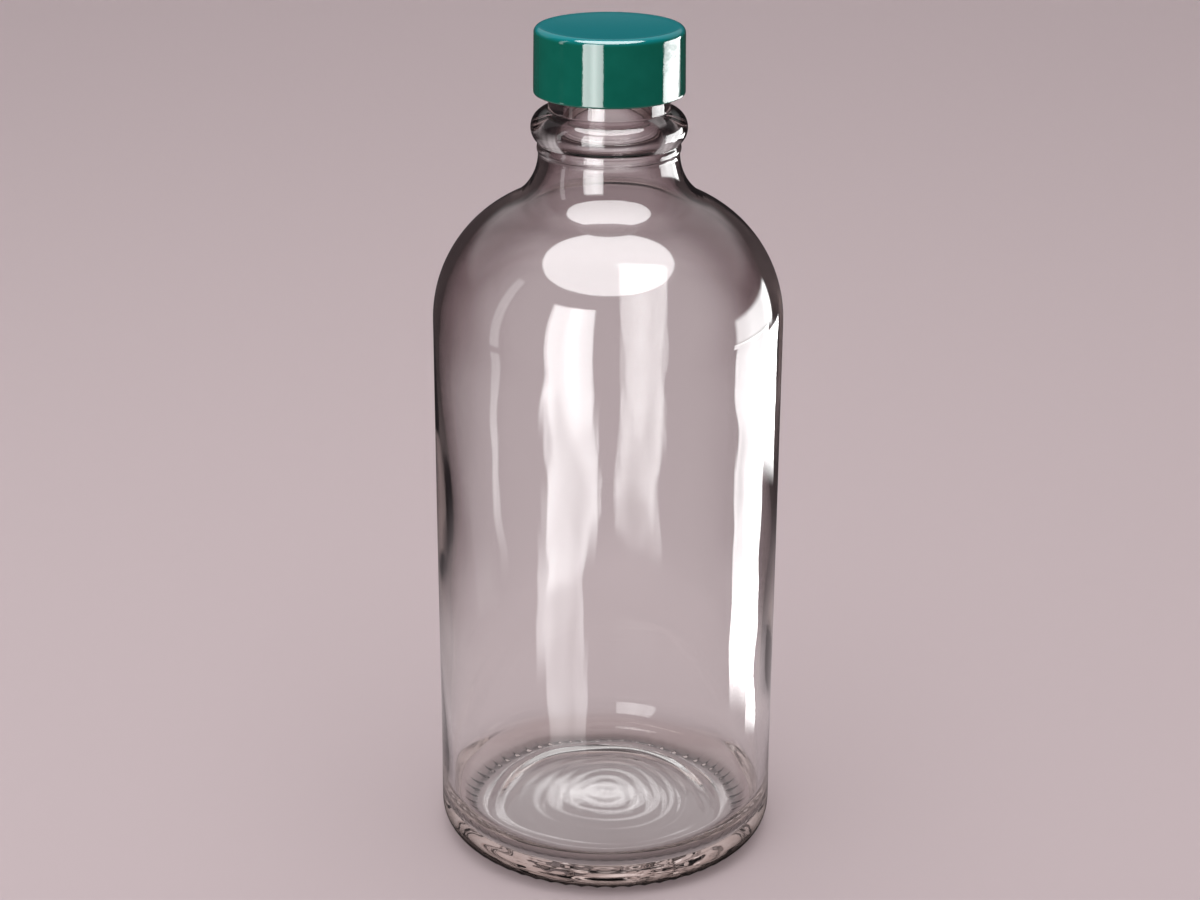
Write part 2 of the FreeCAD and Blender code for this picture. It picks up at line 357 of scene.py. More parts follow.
def turned_mesh(name, points, relief, columns):
    """A closed surface of revolution about Z.

    A point of the path at (radius, height) and a turn angle a stands at
    (radius cos a, radius sin a, height), moved along the path's normal by relief[row, column].
    The path starts and ends on the axis, where one vertex closes the surface."""
    normal = outward(points)
    angle = np.linspace(0.0, 2 * np.pi, columns, endpoint=False)
    radius = points[1:-1, 0:1] + relief[1:-1] * normal[1:-1, 0:1]
    height = points[1:-1, 1:2] + relief[1:-1] * normal[1:-1, 1:2]
    rows = len(radius)
    grid = np.stack([radius * np.cos(angle), radius * np.sin(angle), height + 0 * angle], axis=2)
    grid = grid.reshape(-1, 3)
    sunk = relief.mean(axis=1) * normal[:, 1]
    ends = np.array([[0, 0, points[0, 1] + sunk[0]], [0, 0, points[-1, 1] + sunk[-1]]])
    vertices = np.concatenate([grid, ends])
    column = np.arange(columns)
    following = (column + 1) % columns
    row = np.arange(rows - 1)[:, None] * columns
    above = row + columns
    quads = np.stack([row + column, row + following, above + following, above + column], axis=2)
    quads = quads.reshape(-1, 4)
    last = (rows - 1) * columns
    first_fan = np.stack([np.full(columns, rows * columns), following, column], axis=1)
    last_fan = np.stack([last + column, last + following, np.full(columns, rows * columns + 1)], axis=1)
    corners = np.concatenate([quads.ravel(), first_fan.ravel(), last_fan.ravel()])
    sizes = np.concatenate([np.full(len(quads), 4), np.full(2 * columns, 3)])
    mesh = bpy.data.meshes.new(name)
    mesh.vertices.add(len(vertices))
    mesh.vertices.foreach_set("co", vertices.astype(np.float32).ravel())
    mesh.loops.add(len(corners))
    mesh.loops.foreach_set("vertex_index", corners.astype(np.int32))
    mesh.polygons.add(len(sizes))
    mesh.polygons.foreach_set("loop_start", (np.cumsum(sizes) - sizes).astype(np.int32))
    mesh.polygons.foreach_set("use_smooth", np.ones(len(sizes), bool))
    mesh.update(calc_edges=True)
    mesh.validate()
    piece = bpy.data.objects.new(name, mesh)
    bpy.context.scene.collection.objects.link(piece)
    return piece


# The thread's crest and foot, from its middle, as shares of the pitch, and the turn share in which it sinks
THREAD_CREST = 0.14
THREAD_FOOT = 0.26
THREAD_FADE = 0.16


def thread_relief(points, where, columns, depth, start, pitch, first, turns):
    """Height of a helical ridge over its wall.

    The ridge's middle climbs one pitch a turn; its height is the depth times a flat-topped slope of the
    distance from that middle, and it sinks at both ends."""
    crest, foot = THREAD_CREST * pitch, THREAD_FOOT * pitch
    angle = np.linspace(0.0, 1.0, columns, endpoint=False)[None, :]
    height = points[:, 1:2]
    relief = np.zeros((len(points), columns))
    for lap in range(int(first + turns) + 1):
        turn = angle + lap
        away = np.abs(height - start - pitch * turn)
        slope = np.clip((foot - away) / (foot - crest), 0, 1)
        share = np.clip(np.minimum(turn - first, first + turns - turn) / THREAD_FADE, 0, 1)
        relief = np.maximum(relief, depth * slope * share * share * (3 - 2 * share))
    return relief * where[:, None]


def wander(points, columns, seeds):
    """A slow wandering between about -1 and 1 over the wall: a sum of waves round and along it."""
    angle = np.linspace(0.0, 2 * np.pi, columns, endpoint=False)[None, :]
    height = points[:, 1:2]
    total = np.zeros((len(points), columns))
    for order, length, shift, weight in seeds:
        total += weight * np.sin(order * angle + 2 * np.pi * height / length + shift)
    return total / sum(weight for _, _, _, weight in seeds)


def bottle_path(glass):
    """The bottle's section, from the hollow under the base up the outside, over the lip and down inside."""
    body = BOTTLE_HIGH[0]
    lip = BOTTLE_HIGH[2]
    inner = body - glass.wall
    neck_start = lip - glass.neck_length
    arc_axis = body - glass.shoulder_arc
    blend_axis = glass.neck_radius + glass.neck_blend
    across = blend_axis - arc_axis
    arcs = glass.shoulder_arc + glass.neck_blend
    rise = math.sqrt(arcs ** 2 - across ** 2)
    shoulder = neck_start - rise
    passing = math.degrees(math.atan2(rise, across))
    foot = body - glass.heel_arc
    hollow = foot - glass.bearing_width
    neck = glass.neck_radius
    bead = neck + glass.bead_step
    bead_level = lip - glass.bead_drop
    lower_arc = (glass.bead_step ** 2 + glass.bead_lower ** 2) / (2 * glass.bead_step)
    over = bead - glass.finish_radius
    upper_arc = (over ** 2 + glass.bead_upper ** 2) / (2 * over)
    lower_angle = math.degrees(math.asin(glass.bead_lower / lower_arc))
    upper_angle = math.degrees(math.asin(glass.bead_upper / upper_arc))
    finish, bore = glass.finish_radius, glass.bore_radius
    ring_arc = (glass.ring_step ** 2 + (glass.ring_height / 2) ** 2) / (2 * glass.ring_step)
    ring_angle = math.degrees(math.asin(glass.ring_height / 2 / ring_arc))
    floor_radius = inner - glass.inner_heel_arc
    floor_top = glass.push_up + glass.base_glass
    shoulder_centre = (arc_axis, shoulder)
    blend_centre = (blend_axis, neck_start)
    stretches = [
        dome((0, glass.push_up), (hollow, 0), 30),
        run((hollow + 0.2 * MM, 0), (foot, 0), 6),
        arc((foot, glass.heel_arc), glass.heel_arc, -90, 0, 16),
        run((body, glass.heel_arc + 0.5 * MM), (body, shoulder - 0.5 * MM), 34),
        arc(shoulder_centre, glass.shoulder_arc, 0, passing, 34),
        arc(blend_centre, glass.neck_blend, 180 + passing, 180, 16),
        arc((neck + glass.ring_step - ring_arc, neck_start + glass.ring_height / 2), ring_arc,
            -ring_angle, ring_angle, 7),
        arc((bead - lower_arc, bead_level), lower_arc, -lower_angle, 0, 9),
        arc((bead - upper_arc, bead_level), upper_arc, 0, upper_angle, 12),
        run((finish, bead_level + glass.bead_upper + 0.2 * MM), (finish, lip - glass.lip_arc), 48),
        arc((finish - glass.lip_arc, lip - glass.lip_arc), glass.lip_arc, 0, 90, 7),
        arc((bore + glass.mouth_arc, lip - glass.mouth_arc), glass.mouth_arc, 90, 180, 6),
        run((bore, lip - glass.mouth_arc - 0.3 * MM), (bore, lip - glass.bore_depth), 5),
        run((bore, lip - glass.bore_depth), (neck - glass.wall, neck_start), 7),
        arc(blend_centre, glass.neck_blend + glass.wall, 180, 180 + passing, 14),
        arc(shoulder_centre, glass.shoulder_arc - glass.wall, passing, 0, 28),
        run((inner, shoulder - 0.5 * MM), (inner, glass.floor_edge + glass.inner_heel_arc + 0.5 * MM), 34),
        arc((floor_radius, glass.floor_edge + glass.inner_heel_arc), glass.inner_heel_arc, 0, -90, 24),
        dome((floor_radius, glass.floor_edge), (0, floor_top), 44),
    ]
    return path_of(stretches)


# The stretches of the section, in the order in which bottle_path lists them
BASE, BEARING, HEEL, WALL, SHOULDER, BLEND, RING, BEAD_LOW, BEAD_TOP, FINISH = range(10)
LIP, MOUTH, BORE, CONE, IN_BLEND, IN_SHOULDER, IN_WALL, IN_HEEL, FLOOR = range(10, 19)
# Waves of the wall inside and outside: waves round, wave length up the wall in metres, shift, weight
INNER_WAVES = ((2, 0.16, 0.4, 1.0), (3, -0.11, 2.1, 0.9), (5, 0.074, 4.0, 0.7), (7, -0.052, 1.3, 0.42),
               (11, 0.038, 0.2, 0.2))
OUTER_WAVES = ((2, -0.2, 1.2, 1.0), (4, 0.13, 0.5, 0.8), (6, -0.08, 3.0, 0.5))
# The wall's waves fade in above the first height, over the second, and out below the third, over the fourth
WAVE_FADE = (8 * MM, 14 * MM, 146 * MM, 16 * MM)
# The crease round the inside floor: its middle radius, its width, the height under which it lies, and how it
# wanders in and out as waves round, way and shift
CREASE_RADIUS = 24.6 * MM
CREASE_WIDTH = 1.1 * MM
CREASE_TOP = 9 * MM
CREASE_BENDS = ((5, 0.5 * MM, 1.0), (3, 0.6 * MM, 2.2))
# The base's rings fade out to this radius, over this width. They are calmer inside the next radius, and bent
# ever more out to the last
RIPPLE_EDGE = (26 * MM, 6 * MM)
RIPPLE_CALM = 9 * MM
RIPPLE_ROUND = 12 * MM
RIPPLE_BENDS = ((2, 0.9 * MM, 0.6), (3, 0.7 * MM, -1.0))
# The notches start this far inside the heel's middle and end this far outside it, each over a short way
NOTCH_START = (1.2 * MM, 0.8 * MM)
NOTCH_END = (4.6 * MM, 1.2 * MM)


def share_of(amount, whole):
    """How far an amount is along a whole, held between 0 and 1."""
    return np.clip(amount / whole, 0, 1)


def bends(angle, waves):
    """How far a ring wanders in and out at each angle round it."""
    return sum(way * np.cos(order * angle + shift) for order, way, shift in waves)


def bottle_relief(glass, points, owner):
    """What departs from the turned form: the wall's waves, the base's rings and crease, notches, thread."""
    columns = glass.columns
    height = points[:, 1]
    radius = points[:, 0]
    low, low_way, high, high_way = WAVE_FADE
    free = (share_of(height - low, low_way) * share_of(high - height, high_way))[:, None]
    inside = (owner >= IN_BLEND) & (owner <= IN_HEEL)
    outside = (owner >= HEEL) & (owner <= BLEND)
    inner = wander(points, columns, INNER_WAVES)
    outer = wander(points, columns, OUTER_WAVES)
    relief = np.where(inside[:, None], glass.inner_wave * inner * free, 0.0)
    relief -= np.where(outside[:, None], glass.outer_wave * 0.5 * (1 + outer) * free, 0.0)
    angle = np.linspace(0.0, 2 * np.pi, columns, endpoint=False)[None, :]
    crease_at = CREASE_RADIUS + bends(angle, CREASE_BENDS)
    crease = np.exp(-((radius[:, None] - crease_at) / CREASE_WIDTH) ** 2) * (0.7 + 0.3 * np.sin(angle - 0.5))
    creased = ((owner == FLOOR) | (owner == IN_HEEL)) & (height < CREASE_TOP)
    relief += np.where(creased[:, None], glass.crease_height * crease, 0.0)
    share = share_of(radius[:, None], RIPPLE_ROUND)
    bent = radius[:, None] + share * bends(angle, RIPPLE_BENDS)
    ripple = np.cos(2 * np.pi * bent / glass.ripple_spacing) - 1
    edge, way = RIPPLE_EDGE
    calm = share_of(edge - radius, way) * (0.35 + 0.65 * share_of(radius, RIPPLE_CALM))
    uneven = 0.62 + 0.38 * share * np.cos(angle + 0.5)
    on_base = (owner == BASE) | (owner == FLOOR)
    rings = glass.base_ripple * 0.5 * ripple * calm[:, None] * uneven
    relief += np.where(on_base[:, None], rings, 0.0)
    notch = 0.5 - 0.5 * np.cos(glass.knurl_count * angle)
    foot = BOTTLE_HIGH[0] - glass.heel_arc
    before, start_way = NOTCH_START
    after, end_way = NOTCH_END
    on_heel = share_of(radius - foot + before, start_way) * share_of(foot + after - radius, end_way)
    lowest = (owner == BEARING) | (owner == HEEL)
    relief -= np.where(lowest, glass.knurl_depth * on_heel, 0.0)[:, None] * notch
    start = BOTTLE_HIGH[2] - glass.thread_drop - glass.pitch * glass.thread_turns
    on_finish = (owner == FINISH).astype(float)
    relief += thread_relief(points, on_finish, columns, glass.thread_depth, start, glass.pitch, 0.0,
                            glass.thread_turns)
    return relief


# The polish of the glass: roughness, how much more of it where it is hazy, and the spacing of the haze
POLISH = (0.012, 0.03)
HAZE_SCALE = 60.0
HAZE_RANGE = (0.45, 0.8)
# Heights between which the painted edge shade sets in, grows on the shoulder and grows again on the neck
EDGE_SHADE_LEVEL = (48 * MM, 64 * MM)
SHOULDER_LEVEL = (106 * MM, 126 * MM)
NECK_LEVEL = (148 * MM, 154 * MM)
# How far the glass is turned from the eye, 0 to 1, where the painted edge shade starts and where it is full:
# on the body, and how much less of it on the shoulder and on the neck
EDGE_SHADE_START = (0.18, 0.08, 0.05)
EDGE_SHADE_FULL = (0.90, 0.46, 0.16)
# The same for the painted contact shadow along the outline at the foot, and the height over which it ends
CONTACT_SHADOW_SLANT = (0.32, 0.62)
CONTACT_SHADOW_LEVEL = (4 * MM, 10 * MM)
# Radius and height of the tinted heel, its thick glass's colour darkened by painted shade, and of the foot's
# own shadow
HEEL_SHADE_RADIUS = (31 * MM, 34 * MM)
HEEL_SHADE_LEVEL = (4 * MM, 9 * MM)
SHADE_RADIUS = (29 * MM, 32 * MM)
SHADE_LEVEL = (2 * MM, 8 * MM)
# The painted shade in the notches on the bearing ring: height, radius and soft edge of each, and its
# strength
NOTCH_SHADE_LEVEL = (0.14 * MM, 1.2 * MM, 0.08 * MM)
NOTCH_SHADE_RADIUS = (29.6 * MM, 31.9 * MM, 0.15 * MM)
NOTCH_SHADE_STRENGTH = 0.5


def glass_material(glass):
    """Clear glass: faintly uneven in its polish, with painted shade where it is seen edge on, tinted where
    it is thick, with a heel darkened partly by painted shade, a painted contact shadow along the foot's
    outline and painted shade in the notches, and pale in its shadow except under the foot's edge."""
    material, nodes = new_material("clear_glass_polish")
    place = nodes.node("ShaderNodeTexCoord").outputs["Object"]
    across, deep, height = nodes.split(place)
    radius = (across * across + deep * deep).math("POWER", 0.5)
    roughness = POLISH[0] + POLISH[1] * nodes.noise(place, HAZE_SCALE, 3.0).rise(*HAZE_RANGE)
    slant = nodes.value("ShaderNodeLayerWeight", {}, (0.5,), 1)
    clearer = 1 - height.rise(*EDGE_SHADE_LEVEL)
    high = height.rise(*SHOULDER_LEVEL)
    neck = height.rise(*NECK_LEVEL)
    start = EDGE_SHADE_START[0] - EDGE_SHADE_START[1] * high - EDGE_SHADE_START[2] * neck
    full = EDGE_SHADE_FULL[0] - EDGE_SHADE_FULL[1] * high - EDGE_SHADE_FULL[2] * neck
    # Painted shade where the glass is seen edge on, none of it low on the body
    edge = slant.rise(start, full) * (1 - clearer)
    path = nodes.node("ShaderNodeLightPath")
    first = 1 - Value(nodes, path.outputs["Transmission Depth"]).over(0.5)
    # Painted contact shadow along the foot's outline
    contact_shadow = slant.rise(*CONTACT_SHADOW_SLANT) * (1 - height.rise(*CONTACT_SHADOW_LEVEL)) * first
    # Painted shade over the heel's thick glass, besides its own colour
    heel = radius.rise(*HEEL_SHADE_RADIUS) * (1 - height.rise(*HEEL_SHADE_LEVEL))
    colour = nodes.blend(edge, colour4(glass.tint), colour4(glass.edge_shade_tint))
    colour = nodes.blend(heel, colour, colour4(glass.heel_shade_tint))
    # Painted shade in the notches of the bearing ring
    notch_shade = height.band(*NOTCH_SHADE_LEVEL) * radius.band(*NOTCH_SHADE_RADIUS)
    colour = nodes.blend(contact_shadow.math("MAXIMUM", NOTCH_SHADE_STRENGTH * notch_shade), colour, colour4(glass.contact_shadow_tint))
    surface = nodes.node("ShaderNodeBsdfPrincipled", {}, {
        "Base Color": colour, "Roughness": roughness, "IOR": 1.5, "Transmission Weight": 1.0})
    clear = nodes.node("ShaderNodeBsdfTransparent", {}, (colour4(glass.shade),))
    dim = nodes.node("ShaderNodeBsdfTransparent", {}, (colour4(glass.foot_shade),))
    foot = radius.rise(*SHADE_RADIUS) * (1 - height.rise(*SHADE_LEVEL))
    cast = nodes.node("ShaderNodeMixShader", {}, (foot, clear.outputs[0], dim.outputs[0]))
    shadow = path.outputs["Is Shadow Ray"]
    mixed = nodes.node("ShaderNodeMixShader", {}, (shadow, surface.outputs[0], cast.outputs[0]))
    inside = nodes.node("ShaderNodeVolumeAbsorption", {}, (colour4(glass.depth_tint), glass.depth_strength))
    nodes.node("ShaderNodeOutputMaterial", {}, {"Surface": mixed.outputs[0], "Volume": inside.outputs[0]})
    return material


# The stretches of the cap's section that carry its thread and the hollow of its top
CAP_INSIDE = 2
CAP_TOP = 8
# The hollow in the top: how deep it is, and how far it reaches
TOP_SINK = 0.12 * MM
SINK_RADIUS = 13.0 * MM


def cap_path(cap):
    """The cap's section: from its ceiling out, down inside, round the rim, up the skirt, in over the top."""
    outside = CAP_HIGH[0]
    inside = outside - cap.wall
    low, high = CAP_LOW[2], CAP_HIGH[2]
    ceiling = high - cap.top
    corner = 0.3 * MM
    shoulder = outside - cap.draft
    stretches = [
        run((0, ceiling), (inside - corner, ceiling), 8),
        arc((inside - corner, ceiling - corner), corner, 90, 0, 4),
        run((inside, ceiling - 2 * corner), (inside, low + cap.rim), 64),
        arc((inside + cap.rim, low + cap.rim), cap.rim, 180, 270, 5),
        run((inside + cap.rim, low), (outside - cap.rim, low), 4),
        arc((outside - cap.rim, low + cap.rim), cap.rim, -90, 0, 6),
        run((outside, low + cap.rim + 0.2 * MM), (shoulder, high - cap.edge - 0.2 * MM), 20),
        arc((shoulder - cap.edge, high - cap.edge), cap.edge, 0, 90, 12),
        run((shoulder - cap.edge - 0.2 * MM, high), (0, high), 24),
    ]
    return path_of(stretches)


def cap_relief(cap, glass, points, owner):
    """The cap's thread on its inner wall, and a faint hollow in its top."""
    start = BOTTLE_HIGH[2] - glass.thread_drop - glass.pitch * glass.thread_turns - glass.pitch / 2
    inside = (owner == CAP_INSIDE).astype(float)
    relief = thread_relief(points, inside, cap.columns, cap.thread_depth, start, glass.pitch, cap.first_turn,
                           cap.thread_turns)
    sink = TOP_SINK * np.clip(1 - (points[:, 0] / SINK_RADIUS) ** 2, 0, 1)
    relief -= np.where(owner == CAP_TOP, sink, 0.0)[:, None]
    return relief


# The cap's flow mottle: its fineness, its darker share, and how much redder, greener and bluer it gets
FLOW_SCALE = 220.0
FLOW_DARK = 0.82
FLOW_PALE = (0.004, 1.14, 1.2)
# The cap's roughness, how much more of it in places, and their fineness
MOULD_POLISH = (0.03, 0.04)
MOULD_SCALE = 90.0
# Its orange peel: fineness, strength and height. The sealing disc's grain has the same fineness and height
PEEL_SCALE = 700.0
PEEL_STRENGTH = 0.05
PEEL_HEIGHT = 0.2 * MM


def cap_material(cap):
    """Glossy green moulding: a fine flow mottle in the colour, a lighter, bluer top that is a painted
    reflection of the light overhead, an uneven polish and a slight orange peel.
    """
    material, nodes = new_material("green_moulding")
    place = nodes.node("ShaderNodeTexCoord").outputs["Object"]
    flow = nodes.noise(place, FLOW_SCALE, 4.0)
    redder, greener, bluer = FLOW_PALE
    paler = (cap.colour[0] + redder, cap.colour[1] * greener, cap.colour[2] * bluer)
    side = nodes.blend(flow, colour4(dimmed(cap.colour, FLOW_DARK)), colour4(paler))
    # Painted reflection of the light overhead on the cap's top
    top_reflection = nodes.split(place)[2].rise(CAP_HIGH[2] - cap.edge, CAP_HIGH[2] - 0.1 * MM)
    colour = nodes.blend(top_reflection, side, colour4(cap.top_reflection_colour))
    roughness = MOULD_POLISH[0] + MOULD_POLISH[1] * nodes.noise(place, MOULD_SCALE, 3.0)
    peel = nodes.bump(nodes.noise(place, PEEL_SCALE, 2.0), PEEL_STRENGTH, PEEL_HEIGHT)
    surface = nodes.node("ShaderNodeBsdfPrincipled", {}, {
        "Base Color": colour, "Roughness": roughness, "IOR": 1.52, "Coat Weight": 0.3,
        "Coat Roughness": 0.08, "Normal": peel})
    nodes.node("ShaderNodeOutputMaterial", {}, {"Surface": surface.outputs[0]})
    return material


def liner_path(cap):
    """The sealing disc's section, with its edges just broken."""
    radius = LINER_HIGH[0]
    low, high = LINER_LOW[2], LINER_HIGH[2]
    edge = 0.12 * MM
    stretches = [
        run((0, low), (radius - edge, low), 12),
        arc((radius - edge, low + edge), edge, -90, 0, 4),
        arc((radius - edge, high - edge), edge, 0, 90, 4),
        run((radius - edge, high), (0, high), 12),
    ]
    return path_of(stretches)


# The sealing disc: roughness of the facing, how much more the backing has, the backing's worn share, and the
# strength of its grain
FACE_ROUGHNESS = 0.42
BACKING_ROUGHNESS = 0.35
BACKING_WORN = 0.9
GRAIN_STRENGTH = 0.3


def liner_material(cap):
    """A thin white facing under a pale backing, told apart by height, with a faint grain."""
    material, nodes = new_material("white_facing")
    place = nodes.node("ShaderNodeTexCoord").outputs["Object"]
    height = nodes.split(place)[2]
    backing = height.over(LINER_LOW[2] + cap.facing)
    grain = nodes.noise(place, PEEL_SCALE, 3.0)
    worn = nodes.blend(grain, colour4(dimmed(cap.backing, BACKING_WORN)), colour4(cap.backing))
    colour = nodes.blend(backing, colour4(cap.face), worn)
    surface = nodes.node("ShaderNodeBsdfPrincipled", {}, {
        "Base Color": colour, "Roughness": FACE_ROUGHNESS + BACKING_ROUGHNESS * backing,
        "Normal": nodes.bump(grain * backing, GRAIN_STRENGTH, PEEL_HEIGHT)})
    nodes.node("ShaderNodeOutputMaterial", {}, {"Surface": surface.outputs[0]})
    return material


# Lights that only shiny surfaces see, as bands of direction: turn from straight behind the bottle to the
# right, and climb above the horizon, in degrees, with soft edges, a strength for light that has stayed
# outside the glass and one for light that has been inside it
CARDS = (
    ("side strip, top", 50, 86, -11.2, 3, 2.0, 11.0, 0.3),
    ("side strip, at the cap", 56, 88, -13.9, -11.2, 0.4, 11.0, 0.3),
    ("side strip, upper", 36, 85, -21.5, -13.9, 0.6, 11.0, 0.3),
    ("side strip, lower", 54, 87, -26.8, -21.5, 0.6, 11.0, 0.3),
    ("side strip, tip", 53, 68, -27.5, -26.8, 0.4, 11.0, 0.3),
    ("front left window, upper", -168, -136, -20.5, 34, 0.7, 9.5, 5.5),
    ("front left window, middle", -173, -139, -23.6, -20.5, 0.7, 5.5, 4.5),
    ("front left window, lower", -166, -133, -26.3, -23.6, 0.7, 5.5, 0.0),
    ("front left window, foot", -169, -140, -27.9, -26.3, 0.7, 5.0, 0.0),
    ("left edge strip", -106, -100, -23.5, -13.4, 1.0, 3.4, 0.0),
    ("left edge strip, shoulder", -106, -100, -9.2, 40, 1.0, 3.4, 0.0),
    ("backdrop glow", -70, 70, 15, 60, 5.0, 0.3, 0.6),
    ("back lamp", -9, 5, 25, 33, 2.0, 0.0, 3.0),
)
# The lights' edges wander: by how many degrees, how fast, how many times slower across than upright, and the
# climb above which they run straight
CARD_WOBBLE = 20.0
WOBBLE_SCALE = 0.28
WOBBLE_TURN = 20
WOBBLE_TOP = -19.5
# The lights are patchy in themselves: how fast, how many times slower across than upright, how strongly
PATCH_SCALE = 0.4
PATCH_TURN = 6
PATCH_DEPTH = 1.2
# The round light over the bottle: its climb, half its width and length, its strength outside and inside
OVERHEAD_CLIMB = math.radians(76)
OVERHEAD_ASIDE = math.sin(math.radians(34.5))
OVERHEAD_ALONG = math.sin(math.radians(30))
OVERHEAD_EDGE = (0.96, 1.04)
OVERHEAD_STRENGTH = 11.0
OVERHEAD_INSIDE = 0.05
# Climbs between which shiny surfaces stop seeing the table. Then, for light that has been mirrored more than
# once, what is left of the lights, and what is seen between them
FLOOR_CLIMB = (-28.0, -22.0)
CALM_LIGHT = 0.12
CALM_ROOM = (0.46, 0.375, 0.365, 1.0)
# Climbs over which the far floor, a little dimmer, turns into the pale wall, and over which glass shows the
# dusk above it. Dull surfaces see one soft light all round
WALL_CLIMB = (0, 25)
FAR_FLOOR = 0.8
DUSK_CLIMB = (6, 20)
SOFT_LIGHT = (0.62, 0.59, 0.595, 1.0)
# What shiny surfaces mirror of the floor: how far from the axis it ends, for light outside the glass and for
# light that has been inside it, how dim it is, and the painted shadow right under the foot's edge: where and
# how dark
OUTSIDE_FLOOR = (0.05, 0.075)
INSIDE_FLOOR = (0.065, 0.085)
MIRRORED_DIM = 0.7
SHADOW_UNDER_FOOT = (0.036, 0.052)
SHADOW_UNDER_FOOT_DIM = 0.06


def flat_noise(nodes, across, along, scale, detail):
    """Soft noise over two values."""
    place = nodes.node("ShaderNodeCombineXYZ", {}, (across, along, 0.0)).outputs[0]
    return nodes.value("ShaderNodeTexNoise", {"noise_dimensions": "2D"},
                       {"Vector": place, "Scale": scale, "Detail": detail})


def world_light(stage):
    """A pale world for the eye and through glass, and a dark studio with lights for what is mirrored."""
    world = bpy.data.worlds.new("studio")
    bpy.context.scene.world = world
    world.cycles.sampling_method = "NONE"
    world.use_nodes = True
    nodes = Nodes(world.node_tree)
    direction = nodes.node("ShaderNodeTexCoord").outputs["Generated"]
    path = nodes.node("ShaderNodeLightPath")
    within = Value(nodes, path.outputs["Transmission Depth"]).over(0.5)
    right, back, up = nodes.split(direction)
    turn = nodes.value("ShaderNodeMath", {"operation": "ARCTAN2"}, (right, back)) * math.degrees(1)
    climb = up.math("ARCSINE") * math.degrees(1)
    aside = right / OVERHEAD_ASIDE
    along = (back * math.sin(OVERHEAD_CLIMB) + up * math.cos(OVERHEAD_CLIMB)) / OVERHEAD_ALONG
    off = aside * aside + along * along
    overhead = (1 - off.rise(*OVERHEAD_EDGE)) * up.over(0)
    light = overhead * OVERHEAD_STRENGTH * (1 - within * (1 - OVERHEAD_INSIDE))
    low_climb = climb.math("MINIMUM", WOBBLE_TOP)
    wave = flat_noise(nodes, low_climb, turn / WOBBLE_TURN, WOBBLE_SCALE, 2.0)
    turn = turn + CARD_WOBBLE * (wave - 0.5)
    patchy = 1 + PATCH_DEPTH * (flat_noise(nodes, low_climb, turn / PATCH_TURN, PATCH_SCALE, 1.0) - 0.5)
    for _, left_edge, right_edge, low, high, soft, outside, inside in CARDS:
        card = turn.band(left_edge, right_edge, soft) * climb.band(low, high, soft)
        light = light + card * patchy * (outside + within * (inside - outside))
    calm = Value(nodes, path.outputs["Glossy Depth"]).over(1.5)
    light = light * (1 - calm * (1 - CALM_LIGHT))
    level = 1 - climb.rise(*FLOOR_CLIMB)
    room = nodes.blend(calm, nodes.blend(level, colour4(stage.surround), colour4(stage.table)), CALM_ROOM)
    seen = nodes.node("ShaderNodeVectorMath", {"operation": "ADD"},
                      (nodes.node("ShaderNodeCombineXYZ", {}, (light, light, light)).outputs[0], room))
    lit = Value(nodes, path.outputs["Diffuse Depth"]).over(0.5)
    mirrored = Value(nodes, path.outputs["Glossy Depth"]).over(0.5) * (1 - lit)
    wall = climb.rise(*WALL_CLIMB).math("MAXIMUM", within)
    through = nodes.blend(wall, colour4(dimmed(stage.floor, FAR_FLOOR)), colour4(stage.floor))
    through = nodes.blend(within * climb.rise(*DUSK_CLIMB), through, colour4(stage.dusk))
    pale = nodes.blend(lit, through, SOFT_LIGHT)
    plain = nodes.node("ShaderNodeBackground", {}, (pale, 1.0))
    shining = nodes.node("ShaderNodeBackground", {}, (seen.outputs[0], 1.0))
    mixed = nodes.node("ShaderNodeMixShader", {}, (mirrored, plain.outputs[0], shining.outputs[0]))
    nodes.node("ShaderNodeOutputWorld", {}, (mixed.outputs[0],))


def floor_material(stage):
    """Plain pale floor. What a shiny surface mirrors passes through it a little way from the bottle, and in
    reflections from outside the glass it carries a painted shadow right under the foot's edge.
    """
    material, nodes = new_material("pale_floor")
    place = nodes.node("ShaderNodeTexCoord").outputs["Object"]
    away = nodes.value("ShaderNodeVectorMath", {"operation": "LENGTH"}, (place,), 1)
    path = nodes.node("ShaderNodeLightPath")
    mirrored = Value(nodes, path.outputs["Glossy Depth"]).over(0.5)
    within = Value(nodes, path.outputs["Transmission Depth"]).over(0.5)
    dimmer = colour4(dimmed(stage.floor, MIRRORED_DIM))
    # Painted shadow on the floor right under the foot's edge, seen only in reflections from outside the
    # glass
    under_foot_shadow = colour4(dimmed(stage.floor, SHADOW_UNDER_FOOT_DIM))
    under = (1 - within) * (1 - away.rise(*SHADOW_UNDER_FOOT))
    colour = nodes.blend(mirrored, colour4(stage.floor), nodes.blend(under, dimmer, under_foot_shadow))
    surface = nodes.node("ShaderNodeBsdfPrincipled", {}, {
        "Base Color": colour, "Roughness": 0.9, "Specular IOR Level": 0.1})
    clear = nodes.node("ShaderNodeBsdfTransparent", {}, ((1.0, 1.0, 1.0, 1.0),))
    far = away.rise(*OUTSIDE_FLOOR) * (1 - within) + away.rise(*INSIDE_FLOOR) * within
    mixed = nodes.node("ShaderNodeMixShader", {}, (mirrored * far, surface.outputs[0], clear.outputs[0]))
    nodes.node("ShaderNodeOutputMaterial", {}, (mixed.outputs[0],))
    return material


# The floor: its columns and rings, the radius of the first ring and of the last, and how far it lies under 0
FLOOR_COLUMNS = 96
FLOOR_RINGS = 24
FLOOR_RADII = (0.02, 8.0)
FLOOR_SINK = 0.02 * MM


